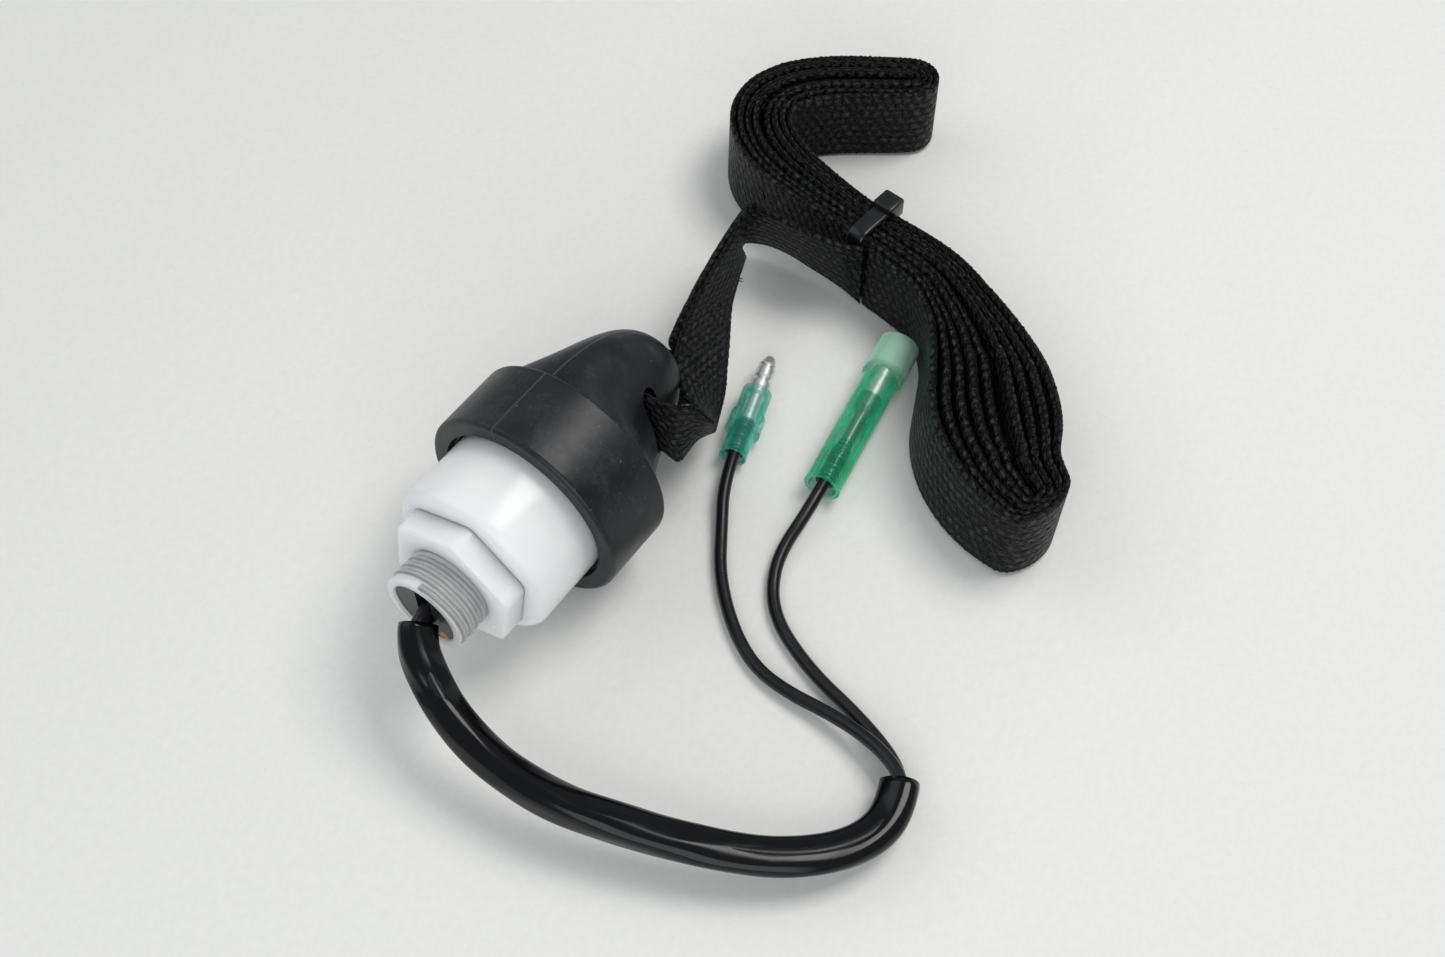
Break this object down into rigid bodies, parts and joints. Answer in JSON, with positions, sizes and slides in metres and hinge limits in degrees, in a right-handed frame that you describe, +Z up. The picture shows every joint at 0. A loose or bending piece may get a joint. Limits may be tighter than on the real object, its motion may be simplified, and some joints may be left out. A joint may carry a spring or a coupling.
{
  "type": "engine kill switch with lanyard",
  "caption": "Round white engine stop switch with a pull-off black rubber cap on a folded webbing lanyard, and a two-wire cable with bullet connectors.",
  "frame": {"origin": "middle of the switch and cap, on the surface that the cap's skirt lies on", "axes": "+X along the switch axis from the threaded shank to the cap's lug, +Z up"},
  "size_m": [0.1718, 0.1095, 0.038],
  "materials": {
    "white_nylon": "moulded, slightly milky",
    "black_rubber": "matt, dusty",
    "black_webbing": "woven",
    "black_sleeving": "glossy",
    "wire_insulation": "satin",
    "green_sleeve": "clear tinted",
    "tinned_brass": "tin plated",
    "copper": "bright",
    "spring_steel": "bright",
    "black_nylon": "moulded",
    "carrier_plastic": "moulded"
  },
  "bodies": {
    "base": {"switch_body": "white_nylon", "front_cover": "white_nylon", "plunger_spring": "spring_steel", "contact_carrier": "carrier_plastic", "terminal_upper": "tinned_brass", "terminal_lower": "tinned_brass", "end_plug": "black_rubber", "cable_sleeve": "black_sleeving", "wire_to_pin": "wire_insulation", "wire_to_socket": "wire_insulation", "pin_terminal": "tinned_brass", "pin_sleeve": "green_sleeve", "socket_terminal": "tinned_brass", "socket_sleeve": "green_sleeve"},
    "plunger": {"plunger": "white_nylon", "bridge_contact": "copper", "plunger_clip": "spring_steel"},
    "cap": {"pull_cap": "black_rubber", "lanyard_lead": "black_webbing", "lanyard_hank": "black_webbing", "cable_tie": "black_nylon"}
  },
  "joints": [
    {"name": "cap_pull", "type": "slide", "parent": "base", "child": "cap", "axis": [1, 0, 0], "range_m": [0, 0.0155]},
    {"name": "plunger_stroke", "type": "slide", "parent": "base", "child": "plunger", "axis": [1, 0, 0], "range_m": [0, 0.003], "deforming": ["plunger_spring"]}
  ],
  "couplings": [
    {"joint": "plunger_stroke", "follows": "cap_pull", "ratio": 0.1935}
  ]
}
